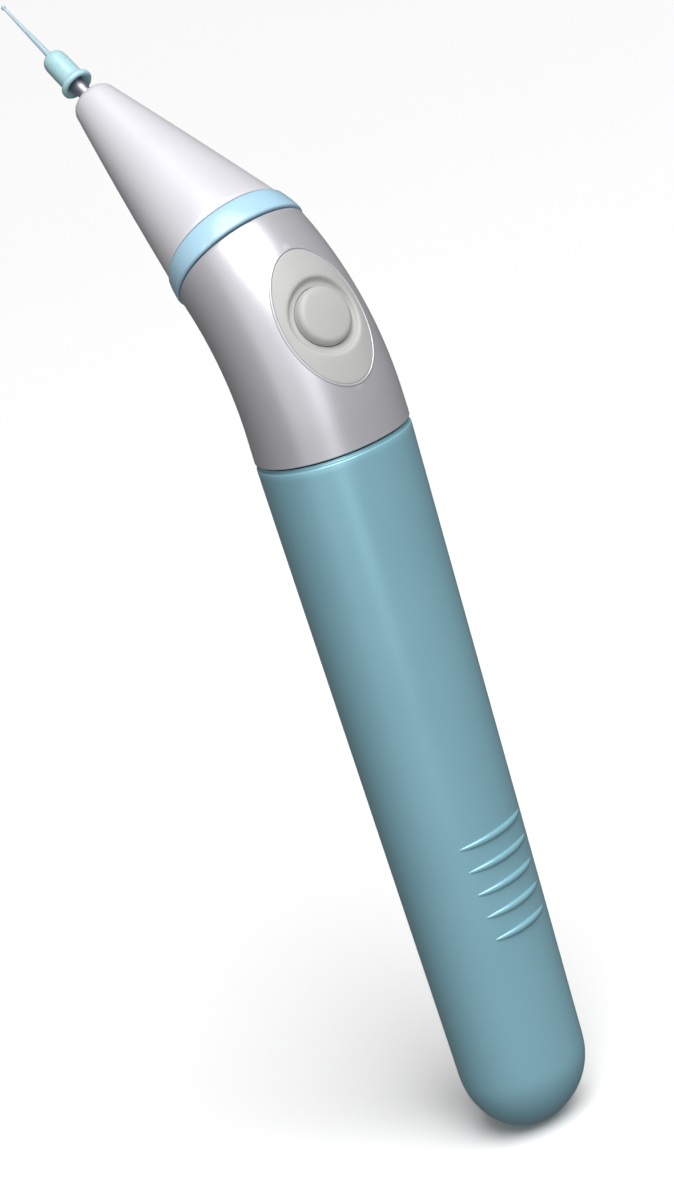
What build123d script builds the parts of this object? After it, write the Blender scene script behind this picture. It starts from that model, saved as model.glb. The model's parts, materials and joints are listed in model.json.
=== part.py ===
from build123d import *
from math import atan, cos, degrees, pi, radians, sin, sqrt
import os

os.makedirs("parts", exist_ok=True)

# ------------------------------------------------------------------
# Driving dimensions, in millimetres and degrees.
# +Z runs up the straight handle, +Y is the side the head leans to, -Y is the thumb side.
# The origin is on the handle's axis, in the seam between the sleeve and the head housing.
# ------------------------------------------------------------------
grip_length = 123.2          # seam to the closed end of the sleeve
grip_half_width = 13.0       # half width at the seam
grip_end_half_width = 10.95  # half width where the rounded end begins, carried on to the end
grip_end_height = 12.0       # height of the rounded end
front_ratio = 0.95           # front half depth / half width
back_ratio = 0.935           # back half depth / half width
front_fullness = 0.10        # moves the widest line towards the thumb side

bend_start = 3.9             # straight run above the seam before the neck bends
bend_radius = 43.4
bend_angle = 43.9
ring_start = 32.1            # along the bent centre line, from the seam
ring_width = 3.8
ring_half_width = 11.95      # half width of the housing under the accent ring
ring_proud = 0.35
nose_length = 35.3           # from the accent ring to the nose face
nose_half_width = 3.5
nose_rounding = 1.6
housing_swell = 0.21
nose_swell = 0.11

housing_wall = 1.8
sleeve_wall = 1.5
nose_wall = 1.5
seam_gap = 0.3
seam_chamfer = 0.6
fit_gap = 0.1                # between pieces fixed to one another
slide_gap = 0.25             # between the sleeve and what it slides over
section_points = 16          # points round each shell outline
lap = 0.5                    # cutters run past the faces they cut

rib_count = 5
rib_first = 68.2             # below the seam
rib_spacing = 4.25
rib_height = 0.55            # proud of the sleeve
rib_width = 1.3
rib_spread_top = 38.0        # half angle covered by the top rib
rib_spread_end = 31.0        # half angle covered by the last rib
rib_turn = 7.0               # middle of the ribs, turned from the thumb side towards +X

pad_place = 17.3             # along the bent centre line, from the seam
pad_half_length = 11.4
pad_half_width = 7.6
pad_thickness = 1.1
pad_rim = 1.5                # how far the housing's ledge runs under the pad
dome_radius = 4.75
dome_proud = 0.15
dome_crown = 0.35
dome_gap = 0.15
dome_rounding = 0.6
cap_recess = 1.4             # depth of the hollow under the dome
moat_outer_radius = 6.6
moat_depth = 0.85
button_travel = 0.8
button_flange = 0.8          # radial width of the flange that keeps the button in
flange_thickness = 0.8

cell_diameter = 14.5
cell_length = 50.5           # over the positive nub
nub_diameter = 5.5
nub_height = 1.0
cell_top = 26.5              # below the seam
cell_play = 0.2
spring_length = 5.5
spring_wire = 0.7
cradle_wall = 1.3
cradle_end = 2.0
collar_top = 3.0
collar_drop = 9.0
collar_wall = 1.6
ring_cord = 1.2              # thickness of the sealing ring
ring_gap = 0.1               # between the sealing ring and the sleeve
ring_seat = 4.0              # sealing ring, below the seam
post_across = 6.6            # chassis screws, from the handle's axis
post_along = 4.8
post_diameter = 3.4
boss_diameter = 5.0
boss_height = 7.0
screw_diameter = 1.6

motor_diameter = 12.0
motor_length = 18.0
motor_front = 8.0            # ahead of the end of the bend, along the head's axis
can_wall = 0.6
end_bell = 2.0
shaft_diameter = 1.5
shaft_reach = 3.2            # ahead of the motor's front face
bush_diameter = 3.6
running_gap = 0.05
air_gap = 0.4
driver_diameter = 6.0
driver_length = 2.9
driver_start = 2.3           # ahead of the motor's front face
eccentricity = 0.32
spigot_radius = 9.2
spigot_wall = 1.5
spigot_length = 6.0

stem_diameter = 2.4
stem_pin_diameter = 1.5
pivot_back = 6.0             # pivot behind the nose face
pivot_ball_diameter = 3.6
crank_length = 16.0          # from the eccentric's mid plane to the pivot
hub_start = 2.9              # ahead of the nose face
hub_flange_diameter = 5.6
hub_flange = 1.0
hub_diameter = 4.2
hub_length = 7.6
stem_in_hub = 5.6
needle_tip = 23.7            # ahead of the nose face
needle_root_diameter = 1.3
needle_end_diameter = 0.55
needle_ball_diameter = 0.9
seal_diameter = 5.0
seal_gap = 0.3
nose_hole_diameter = 4.2

# ------------------------------------------------------------------
# Centre line and cross-sections shared by every shell
# ------------------------------------------------------------------
bend_length = radians(bend_angle) * bend_radius
nose_start = ring_start + ring_width
nose_end = nose_start + nose_length


def spine(s):
    """Place (y, z) and turn in degrees of the centre line, s above the seam."""
    turn = min(max((s - bend_start) / bend_radius, 0), radians(bend_angle))
    y = bend_radius * (1 - cos(turn))
    z = min(s, bend_start) + bend_radius * sin(turn)
    past = max(s - bend_start - bend_length, 0)
    return y + past * sin(turn), z + past * cos(turn), degrees(turn)


def station(s):
    """Plane across the centre line; its X is the width and its Y points to the back."""
    y, z, turn = spine(s)
    direction = (0, sin(radians(turn)), cos(radians(turn)))
    return Plane(origin=(0, y, z), x_dir=(1, 0, 0), z_dir=direction)


def half_width(s):
    """Half width of the outer skin at s."""
    if s <= 0:
        taper = grip_half_width + (grip_end_half_width - grip_half_width) * -s / grip_length
        into_end = max(-s - (grip_length - grip_end_height), 0) / grip_end_height
        return taper * sqrt(max(1 - into_end ** 2, 0))
    if s <= ring_start:
        part = s / ring_start
        swell = 4 * housing_swell * part * (1 - part)
        return grip_half_width + (ring_half_width - grip_half_width) * part + swell
    part = (s - ring_start) / (nose_end - ring_start)
    return ring_half_width + (nose_half_width - ring_half_width) * part + nose_swell * sin(pi * part)


def section(s, inset, width=None):
    """Closed outline of the skin at s, moved inwards by inset."""
    part = min(max((s - ring_start) / (nose_end - ring_start), 0), 1)
    front = front_ratio + (1 - front_ratio) * part
    back = back_ratio + (1 - back_ratio) * part
    fullness = front_fullness * (1 - part)
    wide = half_width(s) if width is None else width
    points = []
    for index in range(section_points):
        angle = 2 * pi * index / section_points
        across = (wide - inset) * sin(angle) * (1 - fullness * cos(angle))
        depth = (wide * (front if cos(angle) < 0 else back) - inset) * cos(angle)
        points.append((across, depth))
    with BuildSketch(station(s)) as outline:
        with BuildLine():
            Spline(*points, periodic=True)
        make_face()
    return outline.sketch


def spread(start, end, count):
    """Count evenly spaced places from start to end."""
    return [start + (end - start) * index / (count - 1) for index in range(count)]


def grip_sections(top, inset):
    """Sections of the straight grip, from the top down to where its end begins to round."""
    return [section(s, inset) for s in spread(top, grip_end_height - grip_length, 4)]


def end_sections(inset):
    """Sections of the grip's rounded end."""
    sections = [section(grip_end_height - grip_length, inset)]
    for angle in (15, 28, 40, 51, 61, 70, 77, 82.5):
        s = grip_end_height - grip_length - (grip_end_height - inset) * sin(radians(angle))
        taper = grip_half_width + (grip_end_half_width - grip_half_width) * -s / grip_length
        sections.append(section(s, 0, (taper - inset) * cos(radians(angle))))
    return sections


def skin(start, end, count, inset):
    """Sections of the housing or the nose between two places."""
    return [section(s, inset) for s in spread(start, end, count)]


bend_end = bend_start + bend_length
head_origin = station(bend_end).origin
head_axis = station(bend_end).z_dir


def head_plane(ahead):
    """Plane across the head's axis, so far ahead of the end of the bend."""
    return Plane(origin=head_origin + head_axis * ahead, x_dir=(1, 0, 0), z_dir=head_axis)


def disc(plane, diameter, hole=0, across=0, along=0):
    """A round face, or a ring, on a plane."""
    with BuildSketch(plane) as outline:
        with Locations((across, along)):
            Circle(diameter / 2)
            if hole:
                Circle(hole / 2, mode=Mode.SUBTRACT)
    return outline.sketch


nose_face = nose_end - bend_end            # ahead of the end of the bend
spigot_start = nose_start - bend_end - spigot_length
pivot_place = nose_face - pivot_back
crank_place = pivot_place - crank_length
tilt = degrees(atan(eccentricity / crank_length))
pivot_origin = head_plane(pivot_place).origin
crank_origin = head_plane(crank_place).origin + head_plane(0).y_dir * -eccentricity
stem_axis = (pivot_origin - crank_origin).normalized()


def stem_plane(ahead):
    """Plane across the stem's own axis, so far ahead of its pivot."""
    return Plane(origin=pivot_origin + stem_axis * ahead, x_dir=(1, 0, 0), z_dir=stem_axis)


def pad_plane(height):
    """Plane facing out of the thumb side at the pad; its Y runs up the housing."""
    y, z, turn = spine(pad_place)
    outward = Vector(0, -cos(radians(turn)), sin(radians(turn)))
    return Plane(origin=Vector(0, y, z) + outward * height, x_dir=(1, 0, 0), z_dir=outward)


pad_axis = Axis(pad_plane(0).origin, pad_plane(0).z_dir)
pad_side = Plane(origin=pad_plane(0).origin, x_dir=(1, 0, 0), z_dir=Vector(1, 0, 0).cross(pad_plane(0).z_dir))
pad_face = half_width(pad_place) * front_ratio   # height of the skin over the centre line

# ------------------------------------------------------------------
# Handle sleeve: tapered shell with a rounded closed end and grip ribs
# ------------------------------------------------------------------
sleeve_top = -seam_gap
with BuildPart() as handle_sleeve:
    loft(grip_sections(sleeve_top, 0))
    rim = handle_sleeve.edges().sort_by(Axis.Z)[-1]
    chamfer(rim, length=seam_chamfer)
    loft(end_sections(0))
    for index in range(rib_count):
        z = -rib_first - rib_spacing * index
        angle = rib_spread_top + (rib_spread_end - rib_spread_top) * index / (rib_count - 1)
        skin_radius = half_width(z)
        rise = 2 * skin_radius * (1 - cos(radians(angle))) + 2 * rib_height
        shift = rib_height * (2 * skin_radius + rib_height) / rise
        rib_radius = skin_radius + rib_height - shift
        centre = skin_radius * front_ratio + rib_height - rib_radius
        aside = centre * sin(radians(rib_turn))
        ahead = centre * cos(radians(rib_turn))
        with BuildSketch(Plane(origin=(aside, -ahead, z - rib_width / 2))):
            Circle(rib_radius)
        extrude(amount=rib_width)
    loft(grip_sections(sleeve_top, sleeve_wall), mode=Mode.SUBTRACT)
    loft(end_sections(sleeve_wall), mode=Mode.SUBTRACT)
handle_sleeve.part.label = "handle_sleeve"
export_step(handle_sleeve.part, "parts/handle_sleeve.step")

# ------------------------------------------------------------------
# Head housing: bent shell between the seam and the accent ring, with the pad's seat
# ------------------------------------------------------------------
with BuildPart() as mid_housing:
    loft(skin(0, ring_start - fit_gap, 7, 0))
    loft(skin(0, ring_start - fit_gap - housing_wall, 7, housing_wall), mode=Mode.SUBTRACT)
    extrude(disc(head_plane(spigot_start - housing_wall), 2 * spigot_radius + 2 * fit_gap),
            amount=spigot_length + housing_wall + lap, mode=Mode.SUBTRACT)
    with BuildSketch(pad_plane(0)):
        Ellipse(pad_half_width - pad_rim, pad_half_length - pad_rim)
    extrude(amount=grip_half_width + lap, mode=Mode.SUBTRACT)
    with BuildPart(mode=Mode.PRIVATE) as pad_seat:
        with BuildSketch(pad_plane(0)):
            Ellipse(pad_half_width, pad_half_length)
        extrude(amount=grip_half_width + lap)
        loft(skin(bend_start, ring_start - 2, 6, pad_thickness + fit_gap / 2), mode=Mode.SUBTRACT)
    add(pad_seat.part, mode=Mode.SUBTRACT)
    with BuildPart(mode=Mode.PRIVATE) as bosses:
        with BuildSketch(Plane.XY.offset(collar_top + fit_gap)):
            with Locations((-post_across, post_along), (post_across, post_along)):
                Circle(boss_diameter / 2)
        extrude(amount=boss_height)
        loft(skin(0, ring_start - fit_gap, 7, 0.8), mode=Mode.INTERSECT)
    add(bosses.part)
    with BuildSketch(Plane.XY.offset(collar_top)):
        with Locations((-post_across, post_along), (post_across, post_along)):
            Circle(screw_diameter / 2)
    extrude(amount=boss_height - 0.5, mode=Mode.SUBTRACT)
mid_housing.part.label = "mid_housing"
export_step(mid_housing.part, "parts/mid_housing.step")

# ------------------------------------------------------------------
# Accent ring: trapped between the housing and the nose, on the nose's spigot
# ------------------------------------------------------------------
with BuildPart() as accent_ring:
    loft(skin(ring_start, nose_start - fit_gap, 3, -ring_proud))
    rims = accent_ring.faces().filter_by(GeomType.PLANE).edges()
    chamfer(rims, length=0.25)
    extrude(disc(head_plane(spigot_start), 2 * spigot_radius + 2 * fit_gap),
            amount=spigot_length + 2 * lap, mode=Mode.SUBTRACT)
accent_ring.part.label = "accent_ring"
export_step(accent_ring.part, "parts/accent_ring.step")

# ------------------------------------------------------------------
# Nose cone: hollow cone with a spigot behind and a stepped hole in front
# ------------------------------------------------------------------
cone_start = motor_front - 4
cone_end = pivot_place - 1.8
seal_back = nose_face - 3.4
seal_front = nose_face - 0.8


def nose_bore(ahead):
    """Diameter of the nose's hollow."""
    return 2 * (half_width(bend_end + ahead) * back_ratio - nose_wall)


with BuildPart() as nose_cone:
    loft(skin(nose_start, nose_end, 6, 0))
    face_edge = nose_cone.edges().filter_by_position(Axis.Z, head_plane(nose_face - 2).origin.Z, 999)
    fillet(face_edge, radius=nose_rounding)
    extrude(disc(head_plane(spigot_start), 2 * spigot_radius), amount=spigot_length + lap)
    bore = 2 * (spigot_radius - spigot_wall)
    extrude(disc(head_plane(spigot_start - lap), bore), amount=cone_start - spigot_start + lap,
            mode=Mode.SUBTRACT)
    loft([disc(head_plane(cone_start), bore), disc(head_plane(cone_end), nose_bore(cone_end))],
         mode=Mode.SUBTRACT)
    extrude(disc(head_plane(cone_end), 6.0), amount=3.5, mode=Mode.SUBTRACT)
    extrude(disc(head_plane(seal_back - lap - 1), 3.8), amount=2, mode=Mode.SUBTRACT)
    extrude(disc(head_plane(seal_back), seal_diameter), amount=seal_front - seal_back, mode=Mode.SUBTRACT)
    extrude(disc(head_plane(seal_front), nose_hole_diameter), amount=2, mode=Mode.SUBTRACT)
nose_cone.part.label = "nose_cone"
export_step(nose_cone.part, "parts/nose_cone.step")

with BuildPart() as nose_seal:
    extrude(disc(head_plane(seal_back), seal_diameter, hole=stem_diameter + 2 * seal_gap),
            amount=seal_front - seal_back)
nose_seal.part.label = "nose_seal"
export_step(nose_seal.part, "parts/nose_seal.step")

# ------------------------------------------------------------------
# Thumb pad and button
# ------------------------------------------------------------------
with BuildPart() as button_pad:
    with BuildSketch(pad_plane(0)):
        Ellipse(pad_half_width - fit_gap, pad_half_length - fit_gap)
    extrude(amount=grip_half_width + lap)
    loft(skin(bend_start, ring_start - 2, 6, 0), mode=Mode.INTERSECT)
    loft(skin(bend_start, ring_start - 2, 6, pad_thickness), mode=Mode.SUBTRACT)
    with BuildPart(mode=Mode.PRIVATE) as moat:
        extrude(disc(pad_plane(0), 2 * moat_outer_radius), amount=grip_half_width + lap)
        loft(skin(bend_start, ring_start - 2, 6, moat_depth), mode=Mode.SUBTRACT)
    add(moat.part, mode=Mode.SUBTRACT)
    extrude(disc(pad_plane(0), 2 * (dome_radius + dome_gap)), amount=grip_half_width + lap,
            mode=Mode.SUBTRACT)
button_pad.part.label = "button_pad"
export_step(button_pad.part, "parts/button_pad.step")

dome_top = pad_face + dome_proud
flange_radius = dome_radius + dome_gap + button_flange
side_fall = grip_half_width - sqrt(grip_half_width ** 2 - flange_radius ** 2)
flange_top = pad_face - pad_thickness - side_fall - 0.1
cap_bottom = flange_top - flange_thickness
with BuildPart() as button_cap:
    crown_radius = (dome_radius ** 2 + dome_crown ** 2) / (2 * dome_crown)
    half_way = dome_top - crown_radius + sqrt(crown_radius ** 2 - dome_radius ** 2 / 4)
    corner = (dome_radius, dome_top - dome_crown)
    with BuildSketch(pad_side):
        with BuildLine():
            Polyline((0, dome_top), (0, cap_bottom), (dome_radius, cap_bottom), corner)
            ThreePointArc(corner, (dome_radius / 2, half_way), (0, dome_top))
        make_face()
        shoulder = vertices().group_by(Axis.X)[-1].sort_by(Axis.Y)[-1]
        fillet(shoulder, radius=dome_rounding)
    revolve(axis=pad_axis)
    extrude(disc(pad_plane(cap_bottom), 2 * flange_radius), amount=flange_thickness)
    extrude(disc(pad_plane(cap_bottom), 2 * dome_radius - 3), amount=cap_recess, mode=Mode.SUBTRACT)
button_cap.part.label = "button_cap"
export_step(button_cap.part, "parts/button_cap.step")

board_thickness = 1.0
board_top = 3.7
switch_height = 3.5
switch_side = 6.0
plunger_diameter = 3.4
plunger_top = cap_bottom + cap_recess
plunger_bottom = board_top + switch_height - 0.6
with BuildPart() as switch_plunger:
    extrude(disc(pad_plane(plunger_bottom), plunger_diameter), amount=plunger_top - plunger_bottom)
switch_plunger.part.label = "switch_plunger"
export_step(switch_plunger.part, "parts/switch_plunger.step")

with BuildPart() as power_switch:
    with BuildSketch(pad_plane(board_top)):
        Rectangle(switch_side, switch_side)
        Circle(plunger_diameter / 2 + running_gap, mode=Mode.SUBTRACT)
    extrude(amount=switch_height)
    with BuildSketch(pad_plane(board_top)):
        Rectangle(switch_side, switch_side)
    extrude(amount=switch_height - 0.6 - button_travel - 0.3)
power_switch.part.label = "power_switch"
export_step(power_switch.part, "parts/power_switch.step")

board_low = -14.0
board_high = 5.0
board_half_width = 6.0
with BuildPart() as circuit_board:
    with BuildSketch(pad_plane(board_top - board_thickness)):
        with Locations((0, (board_low + board_high) / 2)):
            RectangleRounded(2 * board_half_width, board_high - board_low, 1)
    extrude(amount=board_thickness)
circuit_board.part.label = "circuit_board"
export_step(circuit_board.part, "parts/circuit_board.step")

with BuildPart() as board_components:
    with BuildSketch(pad_plane(board_top)):
        with Locations((-2.2, -7.5)):
            Rectangle(4, 3)
        with Locations((3, -6.2), (3, -8.4)):
            Rectangle(2, 1.2)
    extrude(amount=1.1)
    extrude(disc(pad_plane(board_top), 3.2, across=2.6, along=-11.4), amount=2.2)
board_components.part.label = "board_components"
export_step(board_components.part, "parts/board_components.step")

rail_gap = 0.05
with BuildPart() as board_carrier:
    with BuildSketch(pad_plane(board_top - board_thickness - 1.5)):
        with Locations((0, (board_low + board_high) / 2 - 1.5)):
            Rectangle(2 * board_half_width + 3, board_high - board_low + 3)
        with Locations((0, board_high)):
            Rectangle(2 * board_half_width - 1.6, 2 * (board_high - board_low) + 2, mode=Mode.SUBTRACT)
    extrude(amount=board_thickness + 2.5)
    with BuildSketch(pad_plane(board_top - board_thickness)):
        with Locations((0, (board_low + board_high) / 2)):
            Rectangle(2 * board_half_width + 2 * rail_gap, board_high - board_low + 2 * rail_gap)
    extrude(amount=board_thickness)
    with BuildSketch(pad_plane(board_top)):
        with Locations((0, 0)):
            Rectangle(switch_side + 5, 2 * board_high + 6)
    extrude(amount=3, mode=Mode.SUBTRACT)
    with BuildSketch(pad_plane(board_top - board_thickness)):
        with Locations((0, (board_low + board_high) / 2)):
            Rectangle(2 * board_half_width + 2 * rail_gap, board_high - board_low + 2 * rail_gap)
    extrude(amount=board_thickness, mode=Mode.SUBTRACT)
    split(bisect_by=Plane.XY.offset(collar_top), keep=Keep.TOP)
board_carrier.part.label = "board_carrier"
export_step(board_carrier.part, "parts/board_carrier.step")

# ------------------------------------------------------------------
# Motor on the head's axis
# ------------------------------------------------------------------
motor_back = motor_front - motor_length
can_bore = motor_diameter - 2 * can_wall
front_wall = 0.8
boss_length = 1.0
with BuildPart() as motor_can:
    extrude(disc(head_plane(motor_back), motor_diameter), amount=motor_length)
    extrude(disc(head_plane(motor_front), bush_diameter + 1.6), amount=boss_length)
    extrude(disc(head_plane(motor_back), can_bore), amount=motor_length - front_wall, mode=Mode.SUBTRACT)
    extrude(disc(head_plane(motor_front - front_wall), bush_diameter), amount=front_wall + boss_length,
            mode=Mode.SUBTRACT)
motor_can.part.label = "motor_can"
export_step(motor_can.part, "parts/motor_can.step")

with BuildPart() as motor_end_bell:
    extrude(disc(head_plane(motor_back - end_bell), motor_diameter, hole=bush_diameter), amount=end_bell)
    extrude(disc(head_plane(motor_back), can_bore - 0.1, hole=can_bore - 1.6), amount=1.5)
    with BuildSketch(head_plane(motor_back - end_bell)):
        with GridLocations(6.4, 1, 2, 1):
            Rectangle(0.6, 1.8)
    extrude(amount=end_bell, mode=Mode.SUBTRACT)
motor_end_bell.part.label = "motor_end_bell"
export_step(motor_end_bell.part, "parts/motor_end_bell.step")

with BuildPart() as motor_terminals:
    with BuildSketch(head_plane(motor_back - end_bell - 2.5)):
        with GridLocations(6.4, 1, 2, 1):
            Rectangle(0.5, 1.7)
    extrude(amount=2.5 + end_bell)
motor_terminals.part.label = "motor_terminals"
export_step(motor_terminals.part, "parts/motor_terminals.step")

magnet_bore = can_bore - 1.8
with BuildPart() as motor_magnets:
    with BuildSketch(head_plane(motor_back + 5)):
        Circle(can_bore / 2)
        Circle(magnet_bore / 2, mode=Mode.SUBTRACT)
        Rectangle(3, can_bore, mode=Mode.SUBTRACT)
    extrude(amount=11)
motor_magnets.part.label = "motor_magnets"
export_step(motor_magnets.part, "parts/motor_magnets.step")

with BuildPart() as motor_bushes:
    for place in (motor_back - end_bell, motor_front - front_wall):
        extrude(disc(head_plane(place), bush_diameter, hole=shaft_diameter + 2 * running_gap), amount=1.8)
motor_bushes.part.label = "motor_bushes"
export_step(motor_bushes.part, "parts/motor_bushes.step")

rotor_diameter = magnet_bore - 2 * air_gap
core_start = motor_back + 7
core_length = 7.0
slot_radius = 1.3
with BuildPart() as rotor_core:
    with BuildSketch(head_plane(core_start)):
        Circle(rotor_diameter / 2)
        Circle(shaft_diameter / 2, mode=Mode.SUBTRACT)
        with PolarLocations(2.55, 3):
            Circle(slot_radius, mode=Mode.SUBTRACT)
        with PolarLocations(3.6, 3):
            Rectangle(1.6, 0.6, mode=Mode.SUBTRACT)
    extrude(amount=core_length)
rotor_core.part.label = "rotor_core"
export_step(rotor_core.part, "parts/rotor_core.step")

with BuildPart() as rotor_windings:
    for place in (core_start - 1.4, core_start + core_length):
        extrude(disc(head_plane(place), rotor_diameter - 0.8, hole=2.6), amount=1.4)
    with BuildSketch(head_plane(core_start - 0.2)):
        with PolarLocations(2.55, 3):
            Circle(slot_radius - 0.1)
    extrude(amount=core_length + 0.4)
rotor_windings.part.label = "rotor_windings"
export_step(rotor_windings.part, "parts/rotor_windings.step")

commutator_diameter = 3.2
with BuildPart() as commutator:
    with BuildSketch(head_plane(core_start - 5)):
        Circle(commutator_diameter / 2)
        Circle(shaft_diameter / 2, mode=Mode.SUBTRACT)
    extrude(amount=3.4)
commutator.part.label = "commutator"
export_step(commutator.part, "parts/commutator.step")

with BuildPart() as brushes:
    with BuildSketch(head_plane(motor_back)):
        with GridLocations(commutator_diameter + 0.2 + 2 * running_gap, 1, 2, 1):
            Rectangle(0.2, 1.6)
    extrude(amount=4.5)
brushes.part.label = "brushes"
export_step(brushes.part, "parts/brushes.step")

with BuildPart() as rotor_shaft:
    start = motor_back - end_bell + 0.4
    extrude(disc(head_plane(start), shaft_diameter), amount=motor_front + shaft_reach - start)
rotor_shaft.part.label = "rotor_shaft"
export_step(rotor_shaft.part, "parts/rotor_shaft.step")

driver_back = motor_front + driver_start
with BuildPart() as eccentric_driver:
    extrude(disc(head_plane(driver_back), driver_diameter), amount=driver_length)
    extrude(disc(head_plane(driver_back), shaft_diameter), amount=shaft_reach - driver_start,
            mode=Mode.SUBTRACT)
    pocket = stem_pin_diameter + 4 * running_gap
    extrude(disc(head_plane(motor_front + shaft_reach + 0.1), pocket, along=-eccentricity),
            amount=driver_length, mode=Mode.SUBTRACT)
eccentric_driver.part.label = "eccentric_driver"
export_step(eccentric_driver.part, "parts/eccentric_driver.step")

with BuildPart() as motor_mount:
    with BuildSketch(head_plane(motor_back + 3)):
        Circle(spigot_radius - spigot_wall)
        Circle(motor_diameter / 2, mode=Mode.SUBTRACT)
        with PolarLocations(spigot_radius - spigot_wall, 8):
            Circle(0.6, mode=Mode.SUBTRACT)
    extrude(amount=10)
motor_mount.part.label = "motor_mount"
export_step(motor_mount.part, "parts/motor_mount.step")

# ------------------------------------------------------------------
# Drive stem, rocking in a ball bearing near the nose face
# ------------------------------------------------------------------
ball_gap = 0.04
hub_back = pivot_back + hub_start
stem_front = hub_back + stem_in_hub - 0.8
with BuildPart() as drive_stem:
    extrude(disc(stem_plane(-crank_length - 0.55), stem_pin_diameter), amount=2.4)
    extrude(disc(stem_plane(-crank_length + 1.6), stem_diameter), amount=stem_front + crank_length - 1.6)
    tip_edge = drive_stem.edges().sort_by(Axis.Z)[-1]
    chamfer(tip_edge, length=0.25)
    extrude(disc(stem_plane(stem_front - 1.6), stem_diameter + 1, hole=stem_diameter - 0.4), amount=0.6,
            mode=Mode.SUBTRACT)
drive_stem.part.label = "drive_stem"
export_step(drive_stem.part, "parts/drive_stem.step")

with BuildPart() as pivot_ball:
    with Locations(stem_plane(0)):
        Sphere(pivot_ball_diameter / 2)
    extrude(disc(stem_plane(-pivot_ball_diameter), stem_diameter), amount=2 * pivot_ball_diameter,
            mode=Mode.SUBTRACT)
pivot_ball.part.label = "pivot_ball"
export_step(pivot_ball.part, "parts/pivot_ball.step")

with BuildPart() as pivot_bearing:
    extrude(disc(head_plane(pivot_place - 1.5), 6.0, hole=stem_diameter + 0.6), amount=3)
    with Locations(head_plane(pivot_place)):
        Sphere(pivot_ball_diameter / 2 + ball_gap, mode=Mode.SUBTRACT)
pivot_bearing.part.label = "pivot_bearing"
export_step(pivot_bearing.part, "parts/pivot_bearing.step")

# ------------------------------------------------------------------
# Push-on tip: hub with a socket, and the pick
# ------------------------------------------------------------------
socket_gap = 0.03
root_back = hub_back + stem_in_hub
with BuildPart() as tip_hub:
    extrude(disc(stem_plane(hub_back), hub_flange_diameter), amount=hub_flange)
    extrude(disc(stem_plane(hub_back), hub_diameter), amount=hub_length)
    nose_edge = tip_hub.edges().filter_by(GeomType.CIRCLE).sort_by(Axis.Z)[-1]
    fillet(nose_edge, radius=1.1)
    extrude(disc(stem_plane(hub_back - lap), stem_diameter + 2 * socket_gap),
            amount=stem_front + 0.2 - hub_back + lap, mode=Mode.SUBTRACT)
    extrude(disc(stem_plane(root_back), needle_root_diameter), amount=hub_length, mode=Mode.SUBTRACT)
tip_hub.part.label = "tip_hub"
export_step(tip_hub.part, "parts/tip_hub.step")

needle_front = pivot_back + needle_tip - needle_ball_diameter / 2
with BuildPart() as tip_needle:
    extrude(disc(stem_plane(root_back), needle_root_diameter), amount=hub_back + hub_length - root_back)
    loft([disc(stem_plane(hub_back + hub_length), needle_root_diameter),
          disc(stem_plane(needle_front), needle_end_diameter)])
    with Locations(stem_plane(needle_front)):
        Sphere(needle_ball_diameter / 2)
tip_needle.part.label = "tip_needle"
export_step(tip_needle.part, "parts/tip_needle.step")

# ------------------------------------------------------------------
# Chassis: collar that plugs the housing and the sleeve, and the cell's cradle
# ------------------------------------------------------------------
seal_inset = sleeve_wall + ring_gap + ring_cord / 2
collar_inset = max(housing_wall + fit_gap, sleeve_wall + slide_gap)
cell_bottom = -cell_top - cell_length
spring_end = cell_bottom - spring_length
plate = 0.5
cradle_inside = cell_diameter / 2 + cell_play / 2
cradle_outside = cradle_inside + cradle_wall
cradle_bottom = spring_end - plate - cradle_end
rim_height = 1.5             # how far the cradle's sides reach behind the cell's axis
floor_bottom = -collar_drop - 1.5
with BuildPart() as chassis:
    loft([section(s, collar_inset) for s in spread(-collar_drop - 1.5, collar_top, 3)])
    loft([section(s, collar_inset + collar_wall) for s in spread(-collar_drop, collar_top + lap, 3)],
         mode=Mode.SUBTRACT)
    with BuildSketch(Plane.XY.offset(cradle_bottom)):
        Circle(cradle_outside)
    extrude(amount=floor_bottom - cradle_bottom + lap)
    with BuildSketch(Plane.XY.offset(spring_end - plate)):
        Circle(cradle_inside)
    extrude(amount=-cell_top + plate - spring_end + plate, mode=Mode.SUBTRACT)
    with BuildSketch(Plane.XY.offset(-cell_top + plate + cradle_end)):
        Circle(cradle_inside)
    extrude(amount=cell_top - plate - cradle_end + floor_bottom - 1, mode=Mode.SUBTRACT)
    with BuildSketch(Plane.XY.offset(cradle_bottom)):
        with Locations((0, rim_height + cradle_outside)):
            Rectangle(4 * cradle_outside, 2 * cradle_outside)
    extrude(amount=floor_bottom - cradle_bottom, mode=Mode.SUBTRACT)
    with BuildSketch(Plane.XY.offset(floor_bottom)):
        with Locations((-post_across, post_along), (post_across, post_along)):
            Circle(post_diameter / 2)
    extrude(amount=collar_top - floor_bottom)
    with BuildPart(mode=Mode.PRIVATE) as groove:
        groove_ends = spread(-ring_seat - ring_cord / 2 - 0.1, -ring_seat + ring_cord / 2 + 0.1, 3)
        loft([section(s, 0) for s in groove_ends])
        loft([section(s, seal_inset + ring_cord / 2 + 0.05) for s in groove_ends], mode=Mode.SUBTRACT)
    add(groove.part, mode=Mode.SUBTRACT)
    with BuildSketch(Plane.XY.offset(floor_bottom - lap)):
        with Locations((-post_across, post_along), (post_across, post_along)):
            Circle(screw_diameter / 2 + fit_gap)
    extrude(amount=collar_top - floor_bottom + 2 * lap, mode=Mode.SUBTRACT)
    with BuildSketch(Plane.XY.offset(floor_bottom - lap)):
        with GridLocations(16, 1, 2, 1):
            with Locations((0, rim_height + 0.2)):
                Rectangle(1.4, 0.8)
    extrude(amount=collar_drop + lap, mode=Mode.SUBTRACT)
chassis.part.label = "chassis"
export_step(chassis.part, "parts/chassis.step")

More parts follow.
